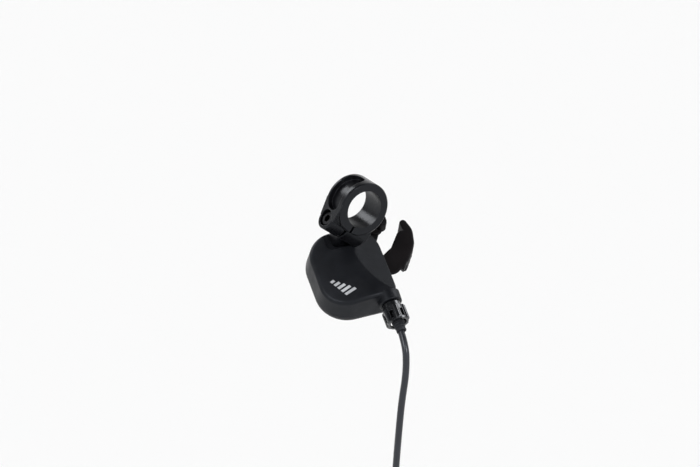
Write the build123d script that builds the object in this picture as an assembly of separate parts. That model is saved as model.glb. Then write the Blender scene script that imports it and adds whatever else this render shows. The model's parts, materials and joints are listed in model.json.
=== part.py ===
"""Right-hand thumb shifter with two thumb levers, a cable adjuster and its first run of housing.

Row frame, millimetres: the origin is the centre of the handlebar clamp, +X runs outboard along
the bar, +Y points forward and +Z up.  The pod has its own frame, POD, in which x runs outboard
along the inner wire, y runs forward and z points out of the upper cover.
"""
from build123d import *
from math import acos, atan2, cos, degrees, hypot, pi, radians, sin, tan
import os

# ---------------------------------------------------------------- handlebar clamp
BAR_R = 11.1                # 22.2 mm handlebar
BAND_W = 17.0               # band width along the bar
BAND_R = 15.9               # outside of the band
RECESS_W = 11.4             # bean-shaped recess round the band's front and top
RECESS_X = 0.7              # its middle, which leaves the outboard rim the thinner
RECESS_FLOOR_R = 12.9
RECESS_FROM, RECESS_TO = 22.0, 86.0      # end centres, degrees up from straight forward
BOLT_X = 2.4                # clamp bolt's axis, outboard of the band's middle
BOLT_TILT = 38.0            # clamp bolt's axis, degrees above straight forward
BOLT_DROP = 15.3            # clamp bolt's axis, distance from the bar's centre
BOLT_R = 2.5
BOLT_HEAD_R, BOLT_HEAD_H = 4.25, 5.0
BOLT_HEX = 4.0              # socket, across flats
BOLT_TIP = -14.5            # bolt's end, measured from the split
BOSS_R = 6.6
BOSS_TOP = 12.0             # boss's end face, measured from the split
WEB_ROUNDS = [(-8.4, -11.0, 2.5), (3.6, -11.0, 2.5)]     # web between boss and rims: far corners
WEB_SLOPE = [(-10.6, 15.0), (-BOLT_DROP, 14.0)]          # its top, tangent to the band, from the bolt's axis
COUNTERBORE_R, COUNTERBORE_DEEP = 4.9, 5.8
SPLIT_W = 1.8
LUG_LONG = 15.0             # neck's length along the bolt, behind the split
NUT_FLATS, NUT_H = 8.0, 4.0
NUT_BACK = -12.0            # nut's far face, measured from the split

# ---------------------------------------------------------------- pod frame and covers
POD = Plane(origin=(-2.4, 7.6, -39.9), x_dir=(0.83, -0.13, 0.54), z_dir=(-0.50, 0.20, 0.84))
POD_ROUNDS = [              # corner rounds of the pod's outline: x, y, radius
    (8.0, 3.5, 18.0),
    (-8.5, 3.5, 18.0),
    (-19.5, -16.3, 7.0),    # cable port
    (8.0, -5.3, 18.0),
]
WALL = 1.6
TOP_Z, SEAM_Z, FLOOR_Z = 10.2, -6.0, -10.0
CREST_AT, CREST_TURN = (-4.0, -7.9), 18.4    # highest point of the barrel-shaped top, and the heading of its crest
CROWN_R, CROWN_LONG_R = 90.0, 220.0     # the top's curvature across the crest and along it
DRAFT = 7.0                 # upper cover's side wall, degrees
TOP_EDGE_R = 2.4
FACET_DROP, FACET_SLOPE = 0.1, 12.0     # flat facet on the rear side: how far it starts below the crest, and its fall
SEAM_GAP, SEAM_STEP = 0.5, 0.45         # shadow gap between the covers: its height and depth
POCKET = (21.6, 0.4)        # pocket in the cover round the bracket's neck: its centre
POCKET_X, POCKET_Y, POCKET_ROUND = 20.4, 16.6, 4.0
POCKET_FLOOR, POCKET_FLOOR_T = 6.2, 1.0
LOWER_EDGE_R = 2.2
FLOOR_T = 1.2
PLATE_BOTTOM, PLATE_TOP = -8.8, -7.6     # base plate
SCREW_SPOTS = [(-15.5, 10.5), (11.0, 15.5), (-20.0, -4.0)]
SCREW_R, SCREW_HEAD_R, SCREW_LONG = 1.4, 2.6, 11.0
SCREW_BOSS_R = 2.8
PLUG_SEAT, PLUG_R, PLUG_HEAD_R = 25.2, 2.5, 3.5
FOOT = (18.0, 0.5)          # bracket foot's centre
FOOT_X, FOOT_Y = 8.0, 9.0
FOOT_SCREW_R, FOOT_SCREW_HEAD_R, FOOT_SCREW_LONG = 2.5, 4.4, 10.0
NECK_SPOT = (20.0, -2.0)    # neck's centre where it enters the cover
NECK_X, NECK_Y, NECK_Z = 11.0, 14.0, 5.0

# ---------------------------------------------------------------- spool, shaft and levers
SHAFT = (0.0, -6.7)         # main shaft's centre
SHAFT_R = 4.0
SHAFT_TOP = 6.7
RUN = 0.05                  # radial running clearance
WIRE_R = 0.6
SPOOL_R = 9.5               # wire's centre line on the spool
WIRE_Z = 3.1
WIRE_Y = SHAFT[1] - SPOOL_R
TEETH = 20                  # 18 degrees a click, which winds 3.0 mm of wire
TOOTH_TIP_R, TOOTH_ROOT_R = 12.5, 11.3
FLANGE_R, GROOVE_R, GROOVE_W = 11.2, 8.75, 1.5
NIPPLE_R, NIPPLE_HALF, NIPPLE_TURN = 1.9, 1.45, -68.0
MAIN_Z = (-5.8, -4.4)       # main lever's steel arm
RELEASE_Z = (-4.1, -2.9)    # release lever's steel arm
RATCHET_Z = (-2.6, -1.3)
SPOOL_Z = (-1.3, 4.6)
TOP_PLATE_Z = (4.75, 5.3)
PAWL_Z = (-2.5, -1.4)
HUB_R = 8.0
PAD_TOP = -4.2              # main pad's top, just under the release lever
PAD_CLEAR_R = 25.4          # main pad stays this far from the shaft where it is thicker than the slot
PAWL_ARM = 16.0             # pawl pins' distance from the shaft
PAWL_PIN_R = 1.3
DRIVE_TURN, HOLD_TURN = 60.0, 150.0      # pawl pins round the shaft, degrees
POST_SPOTS = [(-7.1, 13.5), (4.3, 14.2)]
POST_R, POST_END_R, POST_PAD_R = 1.8, 1.2, 1.9
FINGER_TURN, FINGER_ARM = 119.0, 18.3    # trip finger of the release lever

# ---------------------------------------------------------------- cable adjuster
COLLAR_R, COLLAR_END = 6.8, -29.0        # boss on the cover
COLLAR_ROOT_R, COLLAR_LONG = 7.1, 6.5
SOCKET_BOSS_R, SOCKET_BOSS_LONG = 5.7, 11.0   # its root inside the cover
SLEEVE_R, SLEEVE_LONG = 3.6, 9.0
STEM_R = 2.45
STEM_BORE_R = 1.1
BARREL_R = 5.4
SKIRT_FROM, SKIRT_TO = -32.5, -42.0      # lobed skirt of the knob
SKIRT_R, SKIRT_BORE_R = 6.2, 5.0
LOBES, LOBE_R, LOBE_OUT = 6, 1.7, 5.6
WINDOW_W, WINDOW_LONG = 2.2, 5.0
SOCKET_R, SOCKET_WALL_R = 2.95, 3.6      # housing's seat inside the barrel
SOCKET_FROM, SOCKET_TO = -33.0, -41.0
BOOT_STEPS = [              # from, to and radius of each step behind the knob
    (-41.2, -42.2, 3.5),
    (-42.2, -42.9, 2.7),
    (-42.9, -43.8, 3.2),
    (-43.8, -44.4, 2.6),
    (-44.4, -45.2, 3.0),
    (-45.2, -46.4, 2.5),
    (-46.4, -47.4, 2.9),
]

# ---------------------------------------------------------------- housing
HOUSING_R = 2.0
HOUSING_START = -34.0       # along the pod's x axis, inside the barrel
COIL_R = 22.0               # middle of the coil's turns
COIL_TURNS = 2
COIL_PITCH = 4.3
TUBE_ROUTE = [              # after the straight run out of the barrel
    (-57.9, 2.0, -80.0),
    (-58.9, 5.8, -99.0),
    (-59.4, 7.9, -119.0),
    (-59.1, 9.3, -139.5),
    (-58.6, 9.9, -160.5),
    (-58.2, 10.1, -182.0),
]
FIRST_BEND = -53.8          # first corner, along the pod's x axis
DROP_LONG = 20.0            # straight run down from the end of the last turn
FERRULE_R, FERRULE_LONG = 2.45, 12.0
CAP_END = DROP_LONG + FERRULE_LONG
TAIL_LONG, TIP_LONG, TIP_R = 16.0, 6.0, 0.95


# ---------------------------------------------------------------- helpers
def ring(outer, inner, low, high, at=(0.0, 0.0)):
    """A washer or sleeve between two heights, round a vertical axis."""
    solid = Cylinder(outer, high - low, align=(Align.CENTER, Align.CENTER, Align.MIN))
    if inner:
        solid -= Cylinder(inner, high - low, align=(Align.CENTER, Align.CENTER, Align.MIN))
    return Pos(at[0], at[1], low) * solid


def plate(sketch, low, high):
    """A flat part cut from a sketch, between two heights."""
    return Pos(0, 0, low) * extrude(sketch, high - low)


def along_x(radius, start, stop, y=0.0, z=0.0):
    """A round bar along x."""
    bar = Cylinder(radius, abs(stop - start), align=(Align.CENTER, Align.CENTER, Align.MIN))
    return Pos(min(start, stop), y, z) * Rot(0, 90, 0) * bar


def polar(radius, turn, centre=SHAFT):
    """A point round the main shaft, from its distance and its angle in degrees."""
    return (centre[0] + radius * cos(radians(turn)), centre[1] + radius * sin(radians(turn)))


def hull(circles):
    """The outline round circles (x, y, radius), listed anticlockwise: arcs and tangent lines."""
    touch = []
    for (x1, y1, r1), (x2, y2, r2) in zip(circles, circles[1:] + circles[:1]):
        heading = degrees(atan2(y2 - y1, x2 - x1))
        touch.append(heading - degrees(acos((r1 - r2) / hypot(x2 - x1, y2 - y1))))
    outline = []
    for index, (x, y, r) in enumerate(circles):
        arrive, leave = touch[index - 1], touch[index]
        sweep_turn = (leave - arrive) % 360
        arc = [polar(r, arrive + share * sweep_turn, (x, y)) for share in (0, 0.5, 1)]
        nx, ny, nr = circles[(index + 1) % len(circles)]
        outline += [ThreePointArc(*arc), Line(arc[2], polar(nr, leave, (nx, ny)))]
    return make_face(outline)


def arm(circles, low, high):
    """A bent arm between two heights: straight links through a list of circles."""
    links = [plate(hull(list(pair)), low, high) for pair in zip(circles, circles[1:])]
    solid = links[0]
    for other in links[1:]:
        solid += other
    return solid


def torsion_spring(at, low, radius, wire, turns, pitch, legs):
    """A coil spring round a pin: one swept wire and its straight legs, as (height, turn, length)."""
    path = Helix(pitch=pitch, height=pitch * turns, radius=radius)
    spring = sweep(Plane(origin=path @ 0, z_dir=path % 0) * Circle(wire), path=path)
    for height, turn, length in legs:
        bar = Cylinder(wire, length, align=(Align.CENTER, Align.CENTER, Align.MIN))
        side = Rot(0, 0, turn) * Pos(radius, 0, height) * Rot(-90, 0, 0) * bar
        spring += side
    return Pos(at[0], at[1], low) * spring


# ---------------------------------------------------------------- clamp, in the row frame
TANGENT = Vector(0, cos(radians(BOLT_TILT)), sin(radians(BOLT_TILT)))    # along the clamp bolt
OUTWARD = Vector(0, sin(radians(BOLT_TILT)), -cos(radians(BOLT_TILT)))   # bar's centre to the bolt
BOLT = Plane(origin=OUTWARD * BOLT_DROP + Vector(BOLT_X, 0, 0), x_dir=(1, 0, 0), z_dir=TANGENT)


def on_bolt(radius, start, stop):
    """A round bar on the clamp bolt's axis, measured from the split towards the head."""
    bar = Cylinder(radius, stop - start, align=(Align.CENTER, Align.CENTER, Align.MIN))
    return BOLT * Pos(0, 0, start) * bar


def clamp_recess():
    """The bean-shaped recess that runs round the band between its two rims."""
    mean = (RECESS_FROM + RECESS_TO) / 2
    ring_cut = Cylinder(BAND_R + 3, RECESS_W) - Cylinder(RECESS_FLOOR_R, RECESS_W)
    ring_cut = Rot(0, 90, 0) * ring_cut
    half = (RECESS_TO - RECESS_FROM) / 2
    far = 60.0
    wedge = Polyline((0, 0), (far, -far * tan(radians(half))), (far, far * tan(radians(half))), close=True)
    wedge = extrude(make_face(wedge), BAND_W, both=True)
    wedge = Rot(mean, 0, 0) * Rot(0, 0, 90) * Rot(90, 0, 0) * wedge
    shape = ring_cut & wedge
    for turn in (RECESS_FROM, RECESS_TO):
        end = Cylinder(RECESS_W / 2, 8, align=(Align.CENTER, Align.CENTER, Align.MIN))
        shape += Rot(turn - 90, 0, 0) * Pos(0, 0, RECESS_FLOOR_R) * end
    return Pos(RECESS_X, 0, 0) * shape


def clamp_bracket():
    """Split band, bolt boss, neck and foot in one casting."""
    band = Rot(0, 90, 0) * Cylinder(BAND_R, BAND_W)
    band = chamfer(band.edges().filter_by(GeomType.CIRCLE), 0.7)
    boss = on_bolt(BOSS_R, 0, BOSS_TOP)
    boss = fillet(boss.edges().filter_by(GeomType.CIRCLE).sort_by(Axis(BOLT.origin, TANGENT))[-1], 0.8)
    side = Polyline((-BOLT_DROP, 0), (0, 0), (0, BOSS_TOP), *WEB_SLOPE, close=True)
    side = Plane(origin=(-20, 0, 0), x_dir=(0, 1, 0), z_dir=(1, 0, 0)) * make_face(side)
    web = BOLT * (extrude(hull([(0.0, 0.0, BOSS_R), *WEB_ROUNDS]), 20) & extrude(side, 40))
    lug = on_bolt(BOSS_R, -LUG_LONG, 0)
    rider = BOLT * Pos(-2.0, -4.0, -LUG_LONG / 2) * Box(13.0, 8.0, LUG_LONG)
    top = Plane(BOLT.from_local_coords(Vector(1.0, 1.0, -7.5)), x_dir=(1, 0, 0), z_dir=OUTWARD)
    foot_top = Plane(POD.from_local_coords(Vector(*NECK_SPOT, NECK_Z)), x_dir=POD.x_dir, z_dir=POD.z_dir)
    neck = loft([top * RectangleRounded(12.0, 13.0, 3.0), foot_top * RectangleRounded(NECK_X, NECK_Y, 3.0)])
    foot = POD * Pos(*FOOT, 0) * plate(RectangleRounded(FOOT_X, FOOT_Y, 1.5), PLATE_TOP, NECK_Z)
    solid = band + boss + web + lug + rider + neck + foot
    solid -= Rot(0, 90, 0) * Cylinder(BAR_R, 2 * BAND_W)
    solid -= clamp_recess()
    solid -= BOLT * Pos(0, 2.0, 0) * Box(40.0, 19.0, SPLIT_W)
    solid -= on_bolt(COUNTERBORE_R, BOSS_TOP - COUNTERBORE_DEEP, BOSS_TOP + 5)
    solid -= on_bolt(BOLT_R + 0.1, 0, BOSS_TOP)
    solid -= on_bolt(BOLT_R, BOLT_TIP - 0.5, 0)
    solid -= BOLT * Pos(0, 0, NUT_BACK) * extrude(Rectangle(NUT_FLATS, NUT_FLATS), NUT_H)
    hole = ring(FOOT_SCREW_R, 0, PLATE_TOP, PLATE_TOP + FOOT_SCREW_LONG, FOOT)
    return solid - POD * hole


def clamp_bolt():
    """Socket head cap screw."""
    seat = BOSS_TOP - COUNTERBORE_DEEP
    head = on_bolt(BOLT_HEAD_R, seat, seat + BOLT_HEAD_H)
    rim = head.edges().filter_by(GeomType.CIRCLE).sort_by(Axis(BOLT.origin, TANGENT))[-1]
    head = chamfer(rim, 0.5)
    socket = BOLT * Pos(0, 0, seat + 2.2) * extrude(RegularPolygon(BOLT_HEX / 2, 6, major_radius=False), 5)
    return head + on_bolt(BOLT_R, BOLT_TIP, seat) - socket


def clamp_nut():
    """Square nut held in the neck."""
    body = BOLT * Pos(0, 0, NUT_BACK) * extrude(Rectangle(NUT_FLATS, NUT_FLATS), NUT_H)
    return body - on_bolt(BOLT_R, NUT_BACK - 1, 0)


# ---------------------------------------------------------------- covers, in the pod frame
def pod_outline(inset=0.0):
    """Round pod drawn out to the rounded corner of the cable port."""
    return hull([(x, y, r - inset) for x, y, r in POD_ROUNDS])


def upper_form(inset=0.0):
    """The upper cover's outside, or its inside when set in by the wall."""
    top = TOP_Z - inset
    block = Pos(0, 0, SEAM_Z) * extrude(pod_outline(inset), top - SEAM_Z, taper=DRAFT)
    barrel = Rot(0, 0, CREST_TURN) * Rot(90, 0, 0) * Torus(CROWN_LONG_R - CROWN_R, CROWN_R - inset)
    block &= Pos(*CREST_AT, TOP_Z - CROWN_LONG_R) * barrel
    rim = block.faces().sort_by(Axis.Z)[-1].edges()
    block = fillet(rim, TOP_EDGE_R - 0.9 * inset)
    fall = Pos(*CREST_AT, TOP_Z - FACET_DROP) * Rot(0, 0, CREST_TURN - 90) * Rot(0, FACET_SLOPE, 0)
    return block - fall * Pos(0, 0, 20 - inset) * Box(120, 120, 40)


def lever_slot():
    """The space that the two lever arms sweep as they leave the pod."""
    sides = [polar(40, turn) for turn in (-114, -85, -60, -35, -8)]
    return plate(make_face(Polyline(SHAFT, *sides, close=True)), SEAM_Z - 1, RELEASE_Z[1] + 0.4)


def collar():
    """The adjuster's boss: a short cone that grows out of the cover, with a rounded mouth."""
    cone = Cone(COLLAR_ROOT_R, COLLAR_R, COLLAR_LONG, align=(Align.CENTER, Align.CENTER, Align.MIN))
    cone = fillet(cone.edges().filter_by(GeomType.CIRCLE).sort_by(Axis.Z)[-1], 0.8)
    cone = Pos(COLLAR_END + COLLAR_LONG, WIRE_Y, WIRE_Z) * Rot(0, -90, 0) * cone
    return cone + along_x(SOCKET_BOSS_R, COLLAR_END + 1, COLLAR_END + SOCKET_BOSS_LONG, WIRE_Y, WIRE_Z)


def upper_cover(bracket):
    """Domed shell with screw bosses, the adjuster's collar and the wire access port."""
    shell = upper_form() - upper_form(WALL)
    for spot in SCREW_SPOTS:
        room = upper_form(0.4) + plate(pod_outline(1.8), PLATE_TOP, 0)
        shell += ring(SCREW_BOSS_R, 0, PLATE_TOP, TOP_Z, spot) & room
    shell += collar()
    pocket = Pos(*POCKET) * plate(RectangleRounded(POCKET_X, POCKET_Y, POCKET_ROUND), POCKET_FLOOR, 20)
    walls = offset(pocket, POCKET_FLOOR_T)
    shell += walls & upper_form(0.3)
    shell -= pocket
    port = along_x(3.9, 13.0, PLUG_SEAT, WIRE_Y, WIRE_Z)
    shell += port - upper_form(WALL)
    shell -= along_x(SLEEVE_R, COLLAR_END - 1, COLLAR_END + SLEEVE_LONG, WIRE_Y, WIRE_Z)
    shell -= along_x(2.0, -24, -15, WIRE_Y, WIRE_Z)
    shell -= along_x(PLUG_R, 12.0, 30.0, WIRE_Y, WIRE_Z)
    shell -= lever_slot()
    for spot in SCREW_SPOTS:
        shell -= ring(SCREW_R, 0, PLATE_TOP, FLOOR_Z + FLOOR_T + SCREW_LONG, spot)
    return POD * shell - bracket - on_bolt(BOSS_R, -LUG_LONG, 0)


def lower_cover():
    """Shallow dish that closes the pod from below."""
    dish = plate(pod_outline(), FLOOR_Z, SEAM_Z)
    dish = fillet(dish.faces().sort_by(Axis.Z)[0].edges(), LOWER_EDGE_R)
    dish -= plate(pod_outline(), SEAM_Z - SEAM_GAP, SEAM_Z) - plate(pod_outline(SEAM_STEP), FLOOR_Z, SEAM_Z)
    dish -= plate(pod_outline(WALL - 0.1), FLOOR_Z + FLOOR_T, SEAM_Z)
    for spot in SCREW_SPOTS:
        dish -= ring(SCREW_HEAD_R, 0, FLOOR_Z, FLOOR_Z + FLOOR_T, spot)
    dish -= ring(FOOT_SCREW_HEAD_R, 0, FLOOR_Z, FLOOR_Z + FLOOR_T, FOOT)
    return POD * dish


def cover_screws():
    """Screws that hold both covers on the base plate, one at each boss."""
    screws = []
    for spot in SCREW_SPOTS:
        head = ring(SCREW_HEAD_R, 0, FLOOR_Z + 0.3, PLATE_BOTTOM, spot)
        shank = ring(SCREW_R, 0, PLATE_BOTTOM, FLOOR_Z + FLOOR_T + SCREW_LONG, spot)
        cross = Pos(*spot, FLOOR_Z + 0.6) * (Box(3.0, 0.8, 0.8) + Box(0.8, 3.0, 0.8))
        screws.append(POD * (head + shank - cross))
    return Compound(children=screws)


def port_plug():
    """Screw-in plug over the hole where the inner wire is fed in."""
    plug = along_x(PLUG_R, PLUG_SEAT - 5.5, PLUG_SEAT, WIRE_Y, WIRE_Z)
    plug += along_x(PLUG_HEAD_R, PLUG_SEAT, PLUG_SEAT + 1.4, WIRE_Y, WIRE_Z)
    plug -= Pos(PLUG_SEAT + 1.4, WIRE_Y, WIRE_Z) * (Box(1.4, 0.9, 4.4) + Box(1.4, 4.4, 0.9))
    return POD * plug


# ---------------------------------------------------------------- fixed mechanism
def base_plate():
    """Steel plate that carries the shaft, the posts and the holding pawl."""
    sheet = plate(pod_outline(WALL + 0.1), PLATE_BOTTOM, PLATE_TOP)
    for spot in SCREW_SPOTS:
        sheet -= ring(SCREW_R, 0, PLATE_BOTTOM, PLATE_TOP, spot)
    sheet -= ring(FOOT_SCREW_R, 0, PLATE_BOTTOM, PLATE_TOP, FOOT)
    sheet -= ring(3.0, 0, PLATE_BOTTOM, PLATE_TOP, SHAFT)
    return POD * sheet


def bracket_screw():
    """Screw from below that ties the bracket's foot to the base plate."""
    head = ring(FOOT_SCREW_HEAD_R, 0, FLOOR_Z + 0.1, PLATE_BOTTOM, FOOT)
    shank = ring(FOOT_SCREW_R, 0, PLATE_BOTTOM, PLATE_BOTTOM + FOOT_SCREW_LONG, FOOT)
    socket = Pos(*FOOT, FLOOR_Z) * extrude(RegularPolygon(1.5, 6, major_radius=False), 3.0)
    return POD * (head + shank - socket)


def main_shaft():
    """Stepped shaft, riveted into the base plate and threaded at the top."""
    foot = ring(3.0, 0, PLATE_BOTTOM, PLATE_TOP, SHAFT)
    body = ring(SHAFT_R, 0, PLATE_TOP, TOP_PLATE_Z[0], SHAFT)
    neck = ring(3.0, 0, TOP_PLATE_Z[0], SHAFT_TOP, SHAFT)
    return POD * (foot + body + neck)


def shaft_nut():
    hexagon = RegularPolygon(5.0, 6, major_radius=False)
    nut = Pos(*SHAFT, TOP_PLATE_Z[1]) * extrude(hexagon, SHAFT_TOP - TOP_PLATE_Z[1])
    return POD * (nut - ring(3.0, 0, TOP_PLATE_Z[1] - 1, 12, SHAFT))


def retainer_plate():
    """Upper plate over the spool, on the two posts and the holding pawl's pin."""
    hold = polar(PAWL_ARM, HOLD_TURN)
    near, far = [(*spot, POST_PAD_R) for spot in POST_SPOTS]
    sheet = arm([far, (*SHAFT, 6.5), near], *TOP_PLATE_Z)
    sheet += arm([(*hold, POST_PAD_R), (*SHAFT, 6.4)], *TOP_PLATE_Z)
    sheet -= ring(3.0, 0, *TOP_PLATE_Z, SHAFT)
    sheet -= ring(PAWL_PIN_R, 0, *TOP_PLATE_Z, hold)
    for spot in POST_SPOTS:
        sheet -= ring(POST_END_R, 0, *TOP_PLATE_Z, spot)
    return POD * sheet


def plate_posts():
    """Shouldered posts between the two plates."""
    posts = []
    for spot in POST_SPOTS:
        post = ring(POST_R, 0, PLATE_TOP, TOP_PLATE_Z[0], spot)
        posts.append(POD * (post + ring(POST_END_R, 0, *TOP_PLATE_Z, spot)))
    return Compound(children=posts)


def spool_bush():
    """Plastic sleeve on the shaft that the ratchet and the spool turn on."""
    return POD * ring(5.2, SHAFT_R, RATCHET_Z[0], SPOOL_Z[1] + 0.1, SHAFT)


def lever_shim(low, high):
    return POD * ring(6.0, SHAFT_R, low, high, SHAFT)


def adjuster_sleeve():
    """Threaded insert in the cover's collar."""
    sleeve = along_x(SLEEVE_R, COLLAR_END, COLLAR_END + SLEEVE_LONG, WIRE_Y, WIRE_Z)
    return POD * (sleeve - along_x(STEM_R + RUN, -40, 0, WIRE_Y, WIRE_Z))


def inner_wire():
    """Inner wire from its tangent point on the spool to the housing."""
    return POD * along_x(WIRE_R, HOUSING_START + 0.3, SHAFT[0], WIRE_Y, WIRE_Z)


def spiral_spring():
    """Flat return spring under the main lever, its outer end on a peg of the base plate."""
    turns = 2.6
    steps = 40
    points = []
    for step in range(steps + 1):
        share = step / steps
        points.append(polar(6.6 + 4.0 * share, 360 * turns * share))
    inner = Spline(*points)
    strip = trace(inner, line_width=0.5)
    return POD * plate(strip, PLATE_TOP + 0.15, MAIN_Z[0] - 0.2)


def release_spring():
    """Return spring of the release lever, round the nearer post."""
    turns, pitch = 3.0, 0.6
    legs = [(0, -60, 3.0), (turns * pitch, 90, 4.0)]
    return POD * torsion_spring(POST_SPOTS[0], 1.6, POST_R + 0.5, 0.25, turns, pitch, legs)


def spool_spring():
    """Coil spring in the spool's recess, its upper leg held by the retainer plate."""
    turns, pitch = 1.2, 0.75
    return POD * torsion_spring(SHAFT, 3.3, 6.95, 0.3, turns, pitch, [])


# ---------------------------------------------------------------- spool and ratchet
def ratchet_wheel():
    """Saw-toothed wheel: the steep faces look clockwise, seen from above."""
    pitch = 360 / TEETH
    points = []
    for tooth in range(TEETH):
        points.append(polar(TOOTH_ROOT_R, tooth * pitch, (0, 0)))
        points.append(polar(TOOTH_TIP_R, tooth * pitch, (0, 0)))
        points.append(polar(TOOTH_TIP_R, (tooth + 0.12) * pitch, (0, 0)))
    wheel = make_face(Polyline(*points, close=True)) - Circle(5.2 + RUN)
    return POD * Pos(*SHAFT, 0) * plate(wheel, *RATCHET_Z)


def cable_spool():
    """Grooved drum that winds the inner wire."""
    drum = ring(FLANGE_R, 5.2 + RUN, *SPOOL_Z, SHAFT)
    low, high = WIRE_Z - GROOVE_W / 2, WIRE_Z + GROOVE_W / 2
    drum -= ring(FLANGE_R + 1, GROOVE_R, low, high, SHAFT)
    drum -= ring(8.0, 5.9, 2.8, SPOOL_Z[1], SHAFT)
    drum -= ring(NIPPLE_R, 0, WIRE_Z - NIPPLE_HALF, SPOOL_Z[1], polar(SPOOL_R - 0.3, NIPPLE_TURN))
    return POD * drum


def wire_nipple():
    """Barrel nipple of the inner wire, with the wire's last few millimetres."""
    body = ring(NIPPLE_R, 0, WIRE_Z - NIPPLE_HALF, WIRE_Z + NIPPLE_HALF, polar(SPOOL_R - 0.3, NIPPLE_TURN))
    bar = along_x(WIRE_R, 0.15, 2.4, WIRE_Y, WIRE_Z)
    return POD * (body + bar)


# ---------------------------------------------------------------- levers and pawls
def main_lever():
    """Steel arm of the main lever, with the wing that carries the drive pawl."""
    wing = polar(PAWL_ARM, DRIVE_TURN)
    reach = [(0.5, -24.0, 5.0), (6.0, -34.0, 4.0), (19.0, -41.0, 2.2)]
    sheet = arm([(*wing, 3.2), (*SHAFT, HUB_R), *reach], *MAIN_Z)
    sheet -= ring(SHAFT_R + RUN, 0, *MAIN_Z, SHAFT)
    return POD * (sheet - ring(PAWL_PIN_R, 0, *MAIN_Z, wing))


def main_lever_pad(lever):
    """Plastic thumb pad moulded round the arm: a flat neck and a paddle that drops below it."""
    neck = arm([(1.5, -27.0, 7.0), (8.0, -35.5, 6.0), (18.0, -41.0, 4.2)], SEAM_Z + 0.2, PAD_TOP)
    root = arm([(1.5, -29.5, 7.0), (8.0, -35.5, 6.0), (18.0, -41.0, 4.2)], -8.2, PAD_TOP)
    blade = [(3.0, -37.0, 2.4), (12.0, -43.0, 2.8), (21.0, -45.0, 2.8), (27.0, -44.0, 2.2)]
    paddle = arm(blade, -16.0, PAD_TOP)
    pad = root + paddle - ring(PAD_CLEAR_R, 0, -20, 0, SHAFT)
    pad += neck - plate(pod_outline(-0.6), -20, 20)
    return POD * pad - lever


def release_lever():
    """Steel arm of the release lever, with the finger that trips the holding pawl."""
    finger = polar(FINGER_ARM, FINGER_TURN)
    sheet = arm([(*finger, 1.6), (*SHAFT, HUB_R), (*polar(18, -38), 3.4), (*polar(36, -36), 3.0)], *RELEASE_Z)
    sheet += ring(1.6, 0, RELEASE_Z[1], PAWL_Z[1], finger)
    return POD * (sheet - ring(SHAFT_R + RUN, 0, *RELEASE_Z, SHAFT))


def release_lever_pad(lever):
    """Small thumb pad at the end of the release lever."""
    pad = arm([(*polar(35, -41), 3.0), (*polar(42, -34), 2.6)], RELEASE_Z[0], 4.4)
    root = arm([(*polar(32, -36.5), 4.2), (*polar(38, -36.5), 4.0)], RELEASE_Z[0], -1.6)
    return POD * (pad + root) - lever


def pawl(turn):
    """One pawl, stored with its tip just clear of the teeth."""
    tip = [polar(12.72, 29.5, (0, 0)), polar(14.6, 27.5, (0, 0)), (PAWL_ARM + 1.2, 2.2)]
    heel = [(PAWL_ARM - 1.6, -0.6), polar(12.9, 22.0, (0, 0))]
    solid = plate(make_face(Polyline(*tip, *heel, close=True)), *PAWL_Z)
    solid += ring(2.6, 0, *PAWL_Z, (PAWL_ARM, 0))
    solid -= ring(PAWL_PIN_R + RUN, 0, *PAWL_Z, (PAWL_ARM, 0))
    return POD * Pos(*SHAFT, 0) * Rot(0, 0, turn) * solid


def pawl_pin(turn, low, high, head):
    """Pin that a pawl swings on."""
    spot = polar(PAWL_ARM, turn)
    pin = ring(PAWL_PIN_R, 0, low, high, spot)
    if head:
        pin += ring(1.9, 0, high, high + 0.6, spot)
    return POD * pin


def pawl_spring(turn):
    """Small torsion spring round a pawl's pin, above the pawl."""
    turns, pitch = 3.0, 0.45
    legs = [(0, turn - 100, 2.5), (turns * pitch, turn + 80, 2.5)]
    spot = polar(PAWL_ARM, turn)
    return POD * torsion_spring(spot, PAWL_Z[1] + 0.4, PAWL_PIN_R + 0.35, 0.2, turns, pitch, legs)


# ---------------------------------------------------------------- adjuster and housing
def adjuster_barrel():
    """Threaded stem, and a hollow lobed knob with a window between each pair of lobes."""
    skirt_long = SKIRT_FROM - SKIRT_TO
    skirt = Cylinder(SKIRT_R, skirt_long)
    for lobe in range(LOBES):
        skirt += Rot(0, 0, 360 / LOBES * lobe) * Pos(LOBE_OUT, 0, 0) * Cylinder(LOBE_R, skirt_long)
    envelope = Cylinder(LOBE_OUT + LOBE_R, skirt_long)
    skirt &= fillet(envelope.edges().filter_by(GeomType.CIRCLE), 1.2)
    skirt -= Pos(0, 0, -1.5) * Cylinder(SKIRT_BORE_R, skirt_long)
    for window in range(LOBES):
        cut = Pos(SKIRT_R, 0, -0.6) * Box(4.0, WINDOW_W, WINDOW_LONG)
        skirt -= Rot(0, 0, 360 / LOBES * (window + 0.5)) * cut
    skirt = Pos((SKIRT_FROM + SKIRT_TO) / 2, WIRE_Y, WIRE_Z) * Rot(0, 90, 0) * skirt
    stem = along_x(STEM_R, -20.5, -31.0, WIRE_Y, WIRE_Z)
    collar = along_x(BARREL_R, COLLAR_END - 0.2, SKIRT_FROM - 0.5, WIRE_Y, WIRE_Z)
    collar = chamfer(collar.edges().filter_by(GeomType.CIRCLE).sort_by(Axis.X)[-1], 0.4)
    socket = along_x(SOCKET_WALL_R, SKIRT_FROM, SOCKET_TO, WIRE_Y, WIRE_Z)
    barrel = stem + collar + skirt + socket
    barrel -= along_x(STEM_BORE_R, -45, -15, WIRE_Y, WIRE_Z)
    return POD * (barrel - along_x(SOCKET_R, -45, SOCKET_FROM, WIRE_Y, WIRE_Z))


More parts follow.
